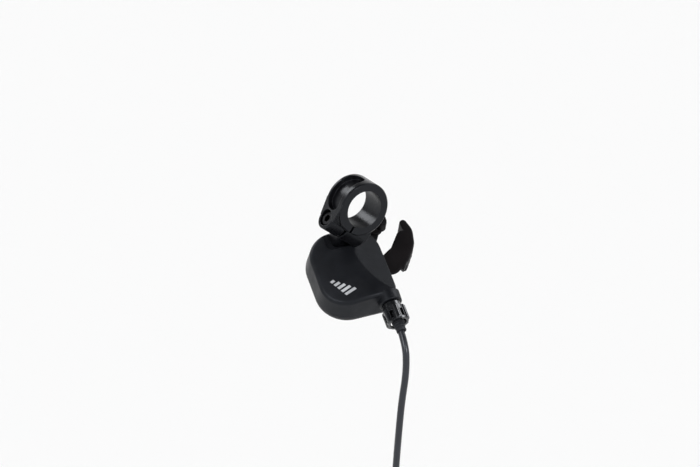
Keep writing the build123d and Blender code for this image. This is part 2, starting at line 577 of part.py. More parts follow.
def housing_ferrule():
    """Cap on the housing's end, seated inside the barrel."""
    cap = along_x(SOCKET_R - RUN, SOCKET_FROM - 0.2, -40.0, WIRE_Y, WIRE_Z)
    cap -= along_x(HOUSING_R, -45, HOUSING_START, WIRE_Y, WIRE_Z)
    return POD * (cap - along_x(STEM_BORE_R, -45, -15, WIRE_Y, WIRE_Z))


def housing_boot(tube):
    """Ringed boot behind the knob, stepped down towards the housing."""
    boot = along_x(SOCKET_R - RUN, -40.0, -41.2, WIRE_Y, WIRE_Z)
    for start, stop, radius in BOOT_STEPS:
        boot += along_x(radius, start, stop, WIRE_Y, WIRE_Z)
    return POD * (boot - along_x(HOUSING_R, -55, -35, WIRE_Y, WIRE_Z)) - tube


def pod_point(x, y, z):
    """A point of the pod frame in the row frame."""
    return POD.from_local_coords(Vector(x, y, z))


def housing_route():
    """Corner points of the housing where it isn't coiled."""
    start = pod_point(HOUSING_START, WIRE_Y, WIRE_Z)
    bend = pod_point(FIRST_BEND, WIRE_Y, WIRE_Z)
    return [start, bend] + [Vector(*point) for point in TUBE_ROUTE]


def rounded_path(points):
    """Straight runs joined by arcs as large as the runs allow."""
    radii = []
    for before, corner, after in zip(points, points[1:], points[2:]):
        turn = (corner - before).get_angle(after - corner)
        run = min((corner - before).length, (after - corner).length)
        radii.append(0.45 * run / tan(radians(turn / 2)))
    print("housing bend radii", [round(radius, 1) for radius in radii])
    return FilletPolyline(*points, radius=radii)


COIL_CENTRE = Vector(*TUBE_ROUTE[-1]) + Vector(COIL_R, 0, 0)
COIL_HALF = (COIL_TURNS * COIL_PITCH + 2 * HOUSING_R + 0.3) / 2
COIL_SHIFT = COIL_TURNS * COIL_PITCH / 2


def coil_solid():
    """Outer shape of the coiled housing: a ring round the Y axis."""
    middle = COIL_CENTRE + Vector(0, COIL_SHIFT, 0)
    disc = Cylinder(COIL_R + HOUSING_R + 0.2, 2 * COIL_HALF)
    disc -= Cylinder(COIL_R - HOUSING_R - 0.2, 2 * COIL_HALF)
    return Pos(*middle) * Rot(90, 0, 0) * disc


def coil_end(down):
    """A point below the place where the last turn ends, on the housing's centre line."""
    return Vector(*TUBE_ROUTE[-1]) + Vector(0, COIL_TURNS * COIL_PITCH, -down)


def hanging(radius, start, stop):
    """A round bar straight down from the end of the last turn."""
    bar = Cylinder(radius, stop - start, align=(Align.CENTER, Align.CENTER, Align.MAX))
    return Pos(*coil_end(start)) * bar


def housing_drop():
    """The housing's last run, below the coil."""
    return hanging(HOUSING_R, 0, DROP_LONG) - coil_solid()


def end_ferrule():
    """Cap on the housing's far end, with the wire's hole in it."""
    cap = hanging(FERRULE_R, DROP_LONG, CAP_END)
    return cap - hanging(WIRE_R, CAP_END - 2.0, CAP_END)


def wire_tail():
    return hanging(WIRE_R, CAP_END - 2.0, CAP_END + TAIL_LONG)


def wire_tip():
    """Crimped cap on the inner wire's end."""
    end = CAP_END + TAIL_LONG
    return hanging(TIP_R, end - TIP_LONG + 2.0, end + 2.0) - hanging(WIRE_R, 0, end)


def shift_housing():
    """The housing where it isn't coiled."""
    path = rounded_path(housing_route())
    tube = sweep(Plane(origin=path @ 0, z_dir=path % 0) * Circle(HOUSING_R), path=path)
    section = pi * HOUSING_R ** 2
    print("housing volume", round(tube.volume, 1), "section times length", round(section * path.length, 1))
    return tube - coil_solid()


def coil_tie():
    """Band round the coil's turns, at the top."""
    middle = COIL_CENTRE + Vector(0, COIL_SHIFT, COIL_R)
    outer = Box(4.0, 2 * COIL_HALF + 2.4, 2 * HOUSING_R + 2.8)
    return Pos(*middle) * outer - coil_solid()


def build():
    bracket = clamp_bracket()
    main_arm, release_arm = main_lever(), release_lever()
    tube = shift_housing()
    return {
        "clamp_bracket": bracket,
        "clamp_bolt": clamp_bolt(),
        "clamp_nut": clamp_nut(),
        "upper_cover": upper_cover(bracket),
        "lower_cover": lower_cover(),
        "cover_screws": cover_screws(),
        "port_plug": port_plug(),
        "base_plate": base_plate(),
        "bracket_screw": bracket_screw(),
        "main_shaft": main_shaft(),
        "shaft_nut": shaft_nut(),
        "retainer_plate": retainer_plate(),
        "plate_posts": plate_posts(),
        "spool_bush": spool_bush(),
        "main_lever_shim": lever_shim(MAIN_Z[1], RELEASE_Z[0]),
        "release_lever_shim": lever_shim(RELEASE_Z[1], RATCHET_Z[0]),
        "adjuster_sleeve": adjuster_sleeve(),
        "inner_wire": inner_wire(),
        "main_lever_spring": spiral_spring(),
        "release_lever_spring": release_spring(),
        "spool_spring": spool_spring(),
        "ratchet_wheel": ratchet_wheel(),
        "cable_spool": cable_spool(),
        "wire_nipple": wire_nipple(),
        "main_lever": main_arm,
        "main_lever_pad": main_lever_pad(main_arm),
        "release_lever": release_arm,
        "release_lever_pad": release_lever_pad(release_arm),
        "drive_pawl": pawl(DRIVE_TURN),
        "drive_pawl_pin": pawl_pin(DRIVE_TURN, MAIN_Z[0], 0.8, True),
        "drive_pawl_spring": pawl_spring(DRIVE_TURN),
        "holding_pawl": pawl(HOLD_TURN),
        "holding_pawl_pin": pawl_pin(HOLD_TURN, PLATE_TOP, TOP_PLATE_Z[1], False),
        "holding_pawl_spring": pawl_spring(HOLD_TURN),
        "adjuster_barrel": adjuster_barrel(),
        "housing_ferrule": housing_ferrule(),
        "housing_boot": housing_boot(tube),
        "shift_housing": tube,
        "housing_coil": coil_solid(),
        "housing_drop": housing_drop(),
        "coil_tie": coil_tie(),
        "end_ferrule": end_ferrule(),
        "wire_tail": wire_tail(),
        "wire_tip": wire_tip(),
    }


os.makedirs("parts", exist_ok=True)
for name, shape in build().items():
    export_step(shape, f"parts/{name}.step")
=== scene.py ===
"""Looks of the thumb shifter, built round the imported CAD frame.  Lengths are metres in the row frame."""
import json
from math import cos, pi, sin, tau

import bmesh
import bpy
from mathutils import Matrix, Vector
from mathutils.bvhtree import BVHTree


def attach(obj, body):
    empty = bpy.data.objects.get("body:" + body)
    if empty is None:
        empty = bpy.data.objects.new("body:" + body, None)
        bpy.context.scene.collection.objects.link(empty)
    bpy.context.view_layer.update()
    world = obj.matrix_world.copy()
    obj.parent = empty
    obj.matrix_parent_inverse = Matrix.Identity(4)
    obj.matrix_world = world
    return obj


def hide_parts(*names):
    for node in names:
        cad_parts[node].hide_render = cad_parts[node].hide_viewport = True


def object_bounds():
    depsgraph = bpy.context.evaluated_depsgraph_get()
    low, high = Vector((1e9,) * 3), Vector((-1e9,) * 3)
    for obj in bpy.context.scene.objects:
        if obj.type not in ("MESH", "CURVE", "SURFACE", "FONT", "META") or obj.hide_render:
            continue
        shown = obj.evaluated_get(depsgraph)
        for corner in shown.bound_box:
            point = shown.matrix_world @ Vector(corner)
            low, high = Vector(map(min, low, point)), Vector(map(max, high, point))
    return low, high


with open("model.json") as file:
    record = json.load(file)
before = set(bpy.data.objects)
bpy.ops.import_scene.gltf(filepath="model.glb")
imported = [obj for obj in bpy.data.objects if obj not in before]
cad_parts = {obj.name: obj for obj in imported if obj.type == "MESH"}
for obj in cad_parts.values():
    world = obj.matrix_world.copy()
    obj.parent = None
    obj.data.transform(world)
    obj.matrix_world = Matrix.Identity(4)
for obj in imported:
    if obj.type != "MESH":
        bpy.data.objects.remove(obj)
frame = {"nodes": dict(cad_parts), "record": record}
cad_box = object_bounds()
nodes = frame["nodes"]
MM = 0.001

# ---------------------------------------------------------------- places that the CAD source sets
POD_AT = Vector((-2.4, 7.6, -39.9)) * MM
POD_OUT = Vector((-0.50, 0.20, 0.84)).normalized()               # out of the upper cover
POD_X = Vector((0.83, -0.13, 0.54))
POD_X = (POD_X - POD_X.dot(POD_OUT) * POD_OUT).normalized()      # outboard along the inner wire
POD_Y = POD_OUT.cross(POD_X)
SHAFT = Vector((0.0, -6.7))                                      # lever shaft in the pod, mm
WIRE_Y, WIRE_Z = -16.2, 3.1                                      # inner wire's line in the pod, mm
HOUSING_START, FIRST_BEND = -34.0, -53.8                         # along that line, mm
HOUSING_R = 2.0 * MM
TUBE_ROUTE = [                                                   # mm, row frame, after that straight run
    (-57.9, 2.0, -80.0),
    (-58.9, 5.8, -99.0),
    (-59.4, 7.9, -119.0),
    (-59.1, 9.3, -139.5),
    (-58.6, 9.9, -160.5),
    (-58.2, 10.1, -182.0),
]
COIL_R, COIL_TURNS, COIL_PITCH = 22.0 * MM, 2, 4.3 * MM
DROP = 20.0 * MM                                                 # straight run below the coil


def pod(x, y, z):
    """A point of the pod frame, given in millimetres."""
    return POD_AT + (POD_X * x + POD_Y * y + POD_OUT * z) * MM


def polar(radius, degrees):
    """A point of the pod's plan round the shaft, mm."""
    turn = degrees * pi / 180
    return (SHAFT.x + radius * cos(turn), SHAFT.y + radius * sin(turn))


# ---------------------------------------------------------------- node materials
COOL_TINT = (0.86, 0.91, 1.0, 1)                                 # highlights on dark plastic and paint
BEVEL_SAMPLES = 6
MIX_A, MIX_B, MIX_RESULT = 6, 7, 2                               # colour sockets of a Mix node
NOISE_LOW, NOISE_HIGH = 0.3, 0.7                                 # between them lie most values of a noise
WORN_FROM, WORN_FULL = 0.97, 0.72                                # softened normal against the face's own


def material(name, base, rough, metal=0.0, coat=0.0, coat_rough=0.1, specular=0.5):
    """A Principled material with its uniform numbers set on the shader itself."""
    mat = bpy.data.materials.new(name)
    mat.use_nodes = True
    shader = mat.node_tree.nodes["Principled BSDF"]
    shader.inputs["Base Color"].default_value = (*base, 1)
    shader.inputs["Roughness"].default_value = rough
    shader.inputs["Metallic"].default_value = metal
    shader.inputs["Coat Weight"].default_value = coat
    shader.inputs["Coat Roughness"].default_value = coat_rough
    shader.inputs["Specular IOR Level"].default_value = specular
    shader.inputs["Specular Tint"].default_value = (1, 1, 1, 1) if metal else COOL_TINT
    return mat


def add(mat, kind, **values):
    """A node of that kind, with its properties and its inputs set by name."""
    node = mat.node_tree.nodes.new(kind)
    for key, value in values.items():
        if hasattr(node, key):
            setattr(node, key, value)
        else:
            node.inputs[key.replace("_", " ").title()].default_value = value
    return node


def link(mat, out, into):
    """A wire between two sockets of the material."""
    mat.node_tree.links.new(out, into)


def shade(mat):
    """The sockets of the material's shader."""
    return mat.node_tree.nodes["Principled BSDF"].inputs


def noise_tex(mat, scale, detail=4.0, stretch=(1, 1, 1)):
    """Noise in object space; a larger stretch packs it closer along that axis."""
    coords = add(mat, "ShaderNodeTexCoord")
    size = add(mat, "ShaderNodeMapping")
    size.inputs["Scale"].default_value = stretch
    tex = add(mat, "ShaderNodeTexNoise", scale=scale, detail=detail)
    link(mat, coords.outputs["Object"], size.inputs["Vector"])
    link(mat, size.outputs["Vector"], tex.inputs["Vector"])
    return tex


def ramp(mat, source, stops):
    """A colour ramp on a 0 to 1 value: stops are (position, colour)."""
    node = add(mat, "ShaderNodeValToRGB")
    for element, (position, colour) in zip(node.color_ramp.elements, stops):
        element.position = position
        element.color = (*colour, 1)
    link(mat, source, node.inputs["Fac"])
    return node.outputs["Color"]


def remap(mat, source, start, stop, low=0.0, high=1.0):
    """A value carried from start and stop to low and high, and held there."""
    span = add(mat, "ShaderNodeMapRange")
    span.inputs["From Min"].default_value = start
    span.inputs["From Max"].default_value = stop
    span.inputs["To Min"].default_value = low
    span.inputs["To Max"].default_value = high
    link(mat, source, span.inputs["Value"])
    return span.outputs["Result"]


def vary_colour(mat, base, spread, scale):
    """Faint mottling of the base colour."""
    tex = noise_tex(mat, scale, detail=3.0)
    low = [channel * (1 - spread) for channel in base]
    high = [channel * (1 + spread) for channel in base]
    colour = ramp(mat, tex.outputs["Fac"], [(NOISE_LOW, low), (NOISE_HIGH, high)])
    link(mat, colour, shade(mat)["Base Color"])
    return colour


def vary_rough(mat, low, high, scale):
    """Handled and clean patches: roughness that drifts over the surface."""
    tex = noise_tex(mat, scale, detail=5.0)
    drift = remap(mat, tex.outputs["Fac"], NOISE_LOW, NOISE_HIGH, low, high)
    link(mat, drift, shade(mat)["Roughness"])


def bump(mat, heights, edge=0.0):
    """Bumps stacked over softened edges: heights are (noise, strength, depth); depth and edge are mm."""
    last = None
    if edge:
        last = add(mat, "ShaderNodeBevel", samples=BEVEL_SAMPLES, radius=edge * MM).outputs["Normal"]
    for tex, strength, depth in heights:
        node = add(mat, "ShaderNodeBump", strength=strength, distance=depth * MM)
        link(mat, tex.outputs["Fac"], node.inputs["Height"])
        if last:
            link(mat, last, node.inputs["Normal"])
        last = node.outputs["Normal"]
    link(mat, last, shade(mat)["Normal"])


def edge_wear(mat, colour, worn, edge):
    """Rubbed edges: a lighter tone, in patches, where the softened normal leaves the face's own."""
    face = add(mat, "ShaderNodeNewGeometry")
    soft = add(mat, "ShaderNodeBevel", samples=BEVEL_SAMPLES, radius=edge * MM)
    same = add(mat, "ShaderNodeVectorMath", operation="DOT_PRODUCT")
    link(mat, face.outputs["Normal"], same.inputs[0])
    link(mat, soft.outputs["Normal"], same.inputs[1])
    patches = noise_tex(mat, scale=700.0)
    rub = add(mat, "ShaderNodeMath", operation="MULTIPLY")
    link(mat, remap(mat, same.outputs["Value"], WORN_FROM, WORN_FULL), rub.inputs[0])
    link(mat, patches.outputs["Fac"], rub.inputs[1])
    mix = add(mat, "ShaderNodeMix", data_type="RGBA")
    link(mat, rub.outputs["Value"], mix.inputs["Factor"])
    link(mat, colour, mix.inputs[MIX_A])
    mix.inputs[MIX_B].default_value = (*worn, 1)
    link(mat, mix.outputs[MIX_RESULT], shade(mat)["Base Color"])


def moulded(name, base, rough, specular=0.24, worn=None, edge=0.3):
    """Fine spark-eroded texture of a moulded plastic part."""
    mat = material(name, base, rough, specular=specular)
    colour = vary_colour(mat, base, spread=0.2, scale=160.0)
    if worn:
        edge_wear(mat, colour, worn, edge)
    vary_rough(mat, rough - 0.07, rough + 0.07, scale=110.0)
    fine = noise_tex(mat, scale=1200.0, detail=3.0)
    cloud = noise_tex(mat, scale=300.0, detail=3.0)
    bump(mat, [(cloud, 0.15, 0.2), (fine, 0.5, 0.1)], edge)
    return mat


def painted_casting(name, base, worn, rough=0.34, edge=0.5):
    """Satin paint over a cast surface."""
    mat = material(name, base, rough, specular=0.26)
    colour = vary_colour(mat, base, spread=0.2, scale=110.0)
    edge_wear(mat, colour, worn, edge)
    vary_rough(mat, rough - 0.07, rough + 0.08, scale=90.0)
    grain = noise_tex(mat, scale=1100.0)
    swell = noise_tex(mat, scale=190.0, detail=2.0)
    bump(mat, [(swell, 0.15, 0.3), (grain, 0.3, 0.05)], edge)
    return mat


def metal(name, base, rough):
    """Turned, drawn or plated metal with fine marks across its z axis."""
    mat = material(name, base, rough, metal=1.0)
    vary_colour(mat, base, spread=0.12, scale=160.0)
    vary_rough(mat, max(0.08, rough - 0.08), rough + 0.10, scale=220.0)
    lines = noise_tex(mat, scale=500.0, detail=5.0, stretch=(1, 1, 14))
    bump(mat, [(lines, 0.15, 0.03)], edge=0.12)
    return mat


def gloss(name, base, rough, coat=0.4, edge=0.25):
    """Glossy moulded or extruded plastic, with slight orange peel and dust."""
    mat = material(name, base, rough, coat=coat, coat_rough=0.12)
    vary_colour(mat, base, spread=0.25, scale=140.0)
    vary_rough(mat, rough - 0.06, rough + 0.12, scale=260.0)
    peel = noise_tex(mat, scale=420.0, detail=2.0)
    bump(mat, [(peel, 0.12, 0.06)], edge)
    return mat


def rubber(name, base):
    """Matt rubber with a dusty skin."""
    mat = material(name, base, 0.6, specular=0.35)
    vary_colour(mat, base, spread=0.25, scale=400.0)
    dust = noise_tex(mat, scale=1800.0)
    bump(mat, [(dust, 0.35, 0.05)], edge=0.2)
    return mat


MATERIALS = {}


def add_finish(slot, make, base, **values):
    """One of the finishes, kept under the name of its slot."""
    MATERIALS[slot] = make(slot, base, **values)


add_finish("bracket_paint", painted_casting, (0.0036, 0.0037, 0.0046), worn=(0.05, 0.052, 0.058), rough=0.30)
add_finish("black_oxide", metal, (0.035, 0.035, 0.038), rough=0.36)
add_finish("zinc_steel", metal, (0.55, 0.55, 0.53), rough=0.33)
add_finish(
    "cover_plastic", moulded, (0.0052, 0.0057, 0.0074), rough=0.44, worn=(0.04, 0.042, 0.048), edge=0.5,
)
add_finish(
    "lower_plastic", moulded, (0.015, 0.015, 0.0155), rough=0.42, specular=0.35,
    worn=(0.06, 0.06, 0.064), edge=0.4,
)
add_finish("plug_plastic", gloss, (0.009, 0.009, 0.010), rough=0.3)
add_finish("shaft_steel", metal, (0.5, 0.5, 0.5), rough=0.28)
add_finish("nylon", moulded, (0.70, 0.69, 0.62), rough=0.45)
add_finish("spring_steel", metal, (0.42, 0.42, 0.42), rough=0.3)
add_finish("wire_steel", metal, (0.6, 0.6, 0.6), rough=0.26)
add_finish("ratchet_steel", metal, (0.36, 0.36, 0.38), rough=0.34)
add_finish("spool_plastic", moulded, (0.05, 0.05, 0.055), rough=0.5)
add_finish("lever_paint", painted_casting, (0.010, 0.010, 0.011), worn=(0.07, 0.07, 0.075), edge=0.3)
add_finish("pad_plastic", moulded, (0.0052, 0.0038, 0.0040), rough=0.5, specular=0.15, edge=0.0)
add_finish("barrel_plastic", gloss, (0.0040, 0.0042, 0.0050), rough=0.24, coat=0.45)
add_finish("ferrule_alloy", metal, (0.62, 0.63, 0.65), rough=0.30)
add_finish("boot_rubber", rubber, (0.016, 0.0165, 0.0195))
add_finish("housing_jacket", gloss, (0.010, 0.011, 0.014), rough=0.34, coat=0.2, edge=0.0)
add_finish("tie_plastic", moulded, (0.03, 0.03, 0.034), rough=0.45)
add_finish("tip_alloy", metal, (0.66, 0.66, 0.68), rough=0.32)
add_finish("mark_print", moulded, (0.42, 0.43, 0.45), rough=0.5)
SLOT_OF = {row["node"]: row["material_slot"] for row in frame["record"]["subparts"]}

for name, obj in nodes.items():
    kept = obj.data.materials
    if not kept:
        kept.append(None)
    for index in range(len(kept)):
        kept[index] = MATERIALS[SLOT_OF[name]]


# ---------------------------------------------------------------- mesh helpers
def place(name, data, body, slot, *stands_for):
    """Link a new mesh or curve, give it its finish, ride it on a body and let it stand for CAD nodes."""
    obj = bpy.data.objects.new(name, data)
    bpy.context.scene.collection.objects.link(obj)
    data.materials.append(MATERIALS[slot])
    if stands_for:
        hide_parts(*stands_for)
    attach(obj, body)
    return obj


def skin(form, rings, loop=False):
    """Join closed rings of vertices, one to the next; a loop also joins its ends, anything else is capped."""
    following = rings[1:] + rings[:1] if loop else rings[1:]
    for low, high in zip(rings, following):
        for index in range(len(low)):
            after = (index + 1) % len(low)
            form.faces.new((low[index], low[after], high[after], high[index]))
    if not loop:
        form.faces.new(rings[0][::-1])
        form.faces.new(rings[-1])


def turned(profile, segments=48):
    """A lathe solid round z from (radius, height) pairs, flat at both ends."""
    form = bmesh.new()
    rings = []
    for radius, height in profile:
        turns = [tau * step / segments for step in range(segments)]
        rings.append([form.verts.new((radius * cos(turn), radius * sin(turn), height)) for turn in turns])
    skin(form, rings)
    return form


def finish_mesh(form, name, where=Matrix.Identity(4)):
    """Turn a bmesh into a smooth-shaded mesh in its place."""
    bmesh.ops.recalc_face_normals(form, faces=form.faces)
    form.transform(where)
    mesh = bpy.data.meshes.new(name)
    form.to_mesh(mesh)
    form.free()
    for face in mesh.polygons:
        face.use_smooth = True
    mesh.set_sharp_from_angle(angle=0.6)
    return mesh


# ---------------------------------------------------------------- camera
VIEW = Vector((0.783, -0.47, -0.407)).normalized()               # looks outboard, rearward and down
AIM = Vector((-3.7, 6.8, -15.0)) * MM
DISTANCE = 1.257
camera = bpy.data.objects.new("camera", bpy.data.cameras.new("camera"))
bpy.context.scene.collection.objects.link(camera)
bpy.context.scene.camera = camera
camera.location = AIM - VIEW * DISTANCE
camera.rotation_mode = "QUATERNION"
camera.rotation_quaternion = VIEW.to_track_quat("-Z", "Y")
camera.data.sensor_width = 36.0
camera.data.lens = 113.14
camera.data.clip_start = 0.05
camera.data.clip_end = 20.0


# ---------------------------------------------------------------- the housing, a free cord
COIL_POINTS = 16                                                 # control points a turn
coil_start = Vector(TUBE_ROUTE[-1]) * MM
coil_centre = coil_start + Vector((COIL_R, 0, 0))
outside = COIL_R / cos(pi / COIL_POINTS)                         # control points lie just outside the turns
route = [pod(HOUSING_START, WIRE_Y, WIRE_Z), pod(FIRST_BEND, WIRE_Y, WIRE_Z)]
route += [Vector(point) * MM for point in TUBE_ROUTE[:-1]]
for step in range(COIL_TURNS * COIL_POINTS + 1):
    turn = tau * step / COIL_POINTS
    radius = COIL_R if step in (0, COIL_TURNS * COIL_POINTS) else outside
    along = COIL_PITCH * step / COIL_POINTS
    route.append(coil_centre + Vector((-radius * cos(turn), along, -radius * sin(turn))))
ferrule_top = route[-1] - Vector((0, 0, DROP))
route.append(ferrule_top)

line = bpy.data.curves.new("housing", "CURVE")
line.dimensions = "3D"
spline = line.splines.new("NURBS")
spline.points.add(len(route) - 1)
for point, spot in zip(spline.points, route):
    point.co = (*spot, 1)
spline.order_u = 3
spline.use_endpoint_u = True
line.resolution_u = 12
line.bevel_depth = HOUSING_R
line.bevel_resolution = 7
line.use_fill_caps = True
housing = place(
    "housing", line, "carriage", "housing_jacket",
    "shift_housing", "housing_coil", "housing_drop",
)


# ---------------------------------------------------------------- the housing's far end, mm down from it
FERRULE_R, FERRULE_LONG, TAIL_LONG = 2.45, 12.0, 16.0
WIRE_R = 0.6
down = Matrix.Translation(ferrule_top) @ Matrix.Rotation(pi, 4, "X") @ Matrix.Scale(MM, 4)
ferrule_form = turned([
    (1.98, -0.35), (2.35, -0.35), (FERRULE_R, -0.2), (FERRULE_R, 1.0),        # rolled lip
    (2.36, 1.15), (2.36, 3.4), (2.18, 3.6), (2.18, 4.2), (2.36, 4.4),         # groove round the barrel
    (2.36, 10.6), (2.1, 11.3), (1.5, FERRULE_LONG - 0.1),                     # rounded nose
    (1.1, FERRULE_LONG), (0.85, FERRULE_LONG), (0.75, FERRULE_LONG - 0.4),    # mouth round the wire
])
ferrule = place(
    "far_ferrule", finish_mesh(ferrule_form, "far_ferrule", down), "carriage", "ferrule_alloy", "end_ferrule",
)


def strands(start, stop, radius, turns_per_mm=0.16, outer=6, steps=60, sides=7):
    """A twisted wire rope along z: the outer strands and a core between them, mm."""
    form = bmesh.new()
    thick = radius / 3
    swell = 1.04                                                 # strands press into each other
    for strand in range(outer + 1):
        off = 0.0 if strand == outer else 2 * thick
        rings = []
        for step in range(steps + 1):
            height = start + (stop - start) * step / steps
            turn = tau * (strand / outer + turns_per_mm * (height - start))
            centre = Vector((off * cos(turn), off * sin(turn), height))
            ring = []
            for side in range(sides):
                angle = tau * side / sides
                aside = Vector((thick * cos(angle), thick * sin(angle), 0)) * swell
                ring.append(form.verts.new(centre + aside))
            rings.append(ring)
        skin(form, rings)
    return form


tail_form = strands(FERRULE_LONG - 1.0, FERRULE_LONG + TAIL_LONG - 2.0, WIRE_R)
tail = place("wire_rope", finish_mesh(tail_form, "wire_rope", down), "carriage", "wire_steel", "wire_tail")

TIP_FROM, TIP_TO, TIP_R = FERRULE_LONG + TAIL_LONG - 4.0, FERRULE_LONG + TAIL_LONG + 2.0, 0.95
TIP_RINGS = (0.1, 1.2, 1.6, 2.2, 2.8, 3.4, 4.0)                  # along the cap's barrel, from its mouth
TIP_CRIMPS, CRIMP_FLAT = (1.6, 2.2, 3.4), 0.68                   # the rings that are squeezed, and how far
tip_form = turned([
    (0.62, TIP_FROM), *((TIP_R, TIP_FROM + depth) for depth in TIP_RINGS),
    (TIP_R, TIP_TO - 0.5), (0.7, TIP_TO - 0.1), (0.3, TIP_TO),
], segments=24)
for vert in tip_form.verts:
    if any(abs(vert.co.z - TIP_FROM - crimp) < 0.2 for crimp in TIP_CRIMPS):
        vert.co.x *= CRIMP_FLAT
tip = place("crimped_tip", finish_mesh(tip_form, "crimped_tip", down), "carriage", "tip_alloy", "wire_tip")


# ---------------------------------------------------------------- tie round the coil
TIE_WIDE, TIE_THICK, TIE_GAP = 3.2 * MM, 0.9 * MM, 0.15 * MM     # the strap, and its play on the housing
TIE_STEPS, TIE_NOTCH = 40, 0.12 * MM
TIE_HEAD, TIE_HEAD_UP = Vector((4.0, 4.4, 2.4)) * MM, 0.6 * MM
TIE_TAIL, TIE_TAIL_AT = Vector((2.6, 4.6, 0.9)) * MM, Vector((0, -4.0, 0.3)) * MM     # from the head's centre
TIE_EDGE = 0.3 * MM


def tie_mesh():
    """A toothed strap drawn round both turns, with its head and cut tail."""
    form = bmesh.new()
    reach = HOUSING_R + TIE_GAP
    between_tops = COIL_PITCH * (COIL_TURNS / 2 + 0.25)
    middle = coil_centre + Vector((0, between_tops, COIL_R))
    half = COIL_PITCH * (COIL_TURNS - 1) / 2
    across = Vector((TIE_WIDE / 2, 0, 0))
    rings = []
    for step in range(TIE_STEPS):
        turn = tau * step / TIE_STEPS
        side = half if cos(turn) > 0 else -half
        facing = Vector((0, cos(turn), sin(turn)))
        notch = TIE_NOTCH if step % 2 else 0.0
        inner = middle + Vector((0, side, 0)) + facing * reach
        outer = inner + facing * (TIE_THICK - notch)
        corners = (inner - across, outer - across, outer + across, inner + across)
        rings.append([form.verts.new(spot) for spot in corners])
    skin(form, rings, loop=True)
    head_at = middle + Vector((0, 0, reach + TIE_THICK + TIE_HEAD_UP))
    for centre, size in ((head_at, TIE_HEAD), (head_at + TIE_TAIL_AT, TIE_TAIL)):
        shape = Matrix.Translation(centre) @ Matrix.Diagonal((*size, 1))
        made = bmesh.ops.create_cube(form, size=1.0, matrix=shape)
        edges = {edge for vert in made["verts"] for edge in vert.link_edges}
        bmesh.ops.bevel(form, geom=list(edges), offset=TIE_EDGE, segments=2, affect="EDGES")
    return finish_mesh(form, "tie")


tie = place("tie", tie_mesh(), "carriage", "tie_plastic", "coil_tie")


# ---------------------------------------------------------------- thumb pads, mm in the pod frame
PLAN_STEP, EASE_ROUNDS = 0.5, 12         # spacing of a bar's middle line, and how often it is eased
CAP_STEPS, EDGE_STEPS = 12, 4            # steps round a bar's end, and round a pillow's edge
EDGE_R, EDGE_SHARE = 0.9, 0.45           # a pillow's edge, at most this share of its height
FACING_FROM, FACING_SPAN = 0.35, 0.4     # how squarely a face must look at the thumb to be grooved
GROOVE_FADE = 1.2                        # run-out of the grooves at the pad's two edges
NECK_FROM_Y, COVERS_R = -24.0, 25.6      # where the thin neck starts, and the covers' reach from the shaft


def outline(circles, keep):
    """Plan of a bent bar with round ends, through (x, y, radius) circles, where keep(point) holds."""
    middle = []
    for start, stop in zip(circles, circles[1:]):
        start, stop = Vector(start), Vector(stop)
        count = max(2, int((stop - start).xy.length / PLAN_STEP))
        middle += [start.lerp(stop, step / count) for step in range(count)]
    middle.append(Vector(circles[-1]))
    for _ in range(EASE_ROUNDS):                                 # ease the corners and the changes of width
        inner = [(one + 2 * two + three) / 4 for one, two, three in zip(middle, middle[1:], middle[2:])]
        middle = [middle[0], *inner, middle[-1]]
    heading = [(two - one).xy.normalized() for one, two in zip(middle, middle[1:])]
    heading.append(heading[-1])
    left, right = [], []
    for spot, ahead in zip(middle, heading):
        aside = Vector((-ahead.y, ahead.x)) * spot.z
        left.append(spot.xy + aside)
        right.append(spot.xy - aside)

    def cap(spot, ahead):
        first = Vector((ahead.y, -ahead.x)) * spot.z
        return [spot.xy + Matrix.Rotation(pi * step / CAP_STEPS, 2) @ first for step in range(1, CAP_STEPS)]

    around = right + cap(middle[-1], heading[-1]) + left[::-1] + cap(middle[0], -heading[0])
    kept = [keep(spot) for spot in around]
    if not all(kept):                                            # start where the kept stretch does
        start = next(index for index in range(len(kept)) if kept[index] and not kept[index - 1])
        around = around[start:] + around[:start]
        around = [spot for spot in around if keep(spot)]
    return around


def pillow(form, around, low, high):
    """A solid over a plan, between two heights, with rounded top and bottom edges."""
    edge = min(EDGE_R, EDGE_SHARE * (high - low))
    normals = []
    for index, spot in enumerate(around):
        ahead = around[(index + 1) % len(around)] - around[index - 1]
        normals.append(Vector((ahead.y, -ahead.x)).normalized())
    turns = [pi / 2 * step / EDGE_STEPS for step in range(EDGE_STEPS + 1)]
    layers = [(edge * (1 - sin(turn)), low + edge * (1 - cos(turn))) for turn in turns]
    layers += [(inset, high - (height - low)) for inset, height in layers[::-1]]
    rings = []
    for inset, height in layers:
        spots = [spot - normal * inset for spot, normal in zip(around, normals)]
        rings.append([form.verts.new(pod(spot.x, spot.y, height)) for spot in spots])
    skin(form, rings)


def merged(form, name, voxel, rounds):
    """The solids of a form melted into one skin: remeshed and relaxed."""
    bmesh.ops.recalc_face_normals(form, faces=form.faces)
    mesh = bpy.data.meshes.new(name)
    form.to_mesh(mesh)
    form.free()
    obj = bpy.data.objects.new(name, mesh)
    bpy.context.scene.collection.objects.link(obj)
    remesh = obj.modifiers.new("remesh", "REMESH")
    remesh.mode = "VOXEL"
    remesh.voxel_size = voxel * MM
    smooth = obj.modifiers.new("smooth", "SMOOTH")
    smooth.iterations = rounds
    made = bpy.data.meshes.new_from_object(obj.evaluated_get(bpy.context.evaluated_depsgraph_get()))
    bpy.data.objects.remove(obj)
    for face in made.polygons:
        face.use_smooth = True
    return made


def clamped(value):
    """The value held between 0 and 1."""
    return min(1.0, max(0.0, value))


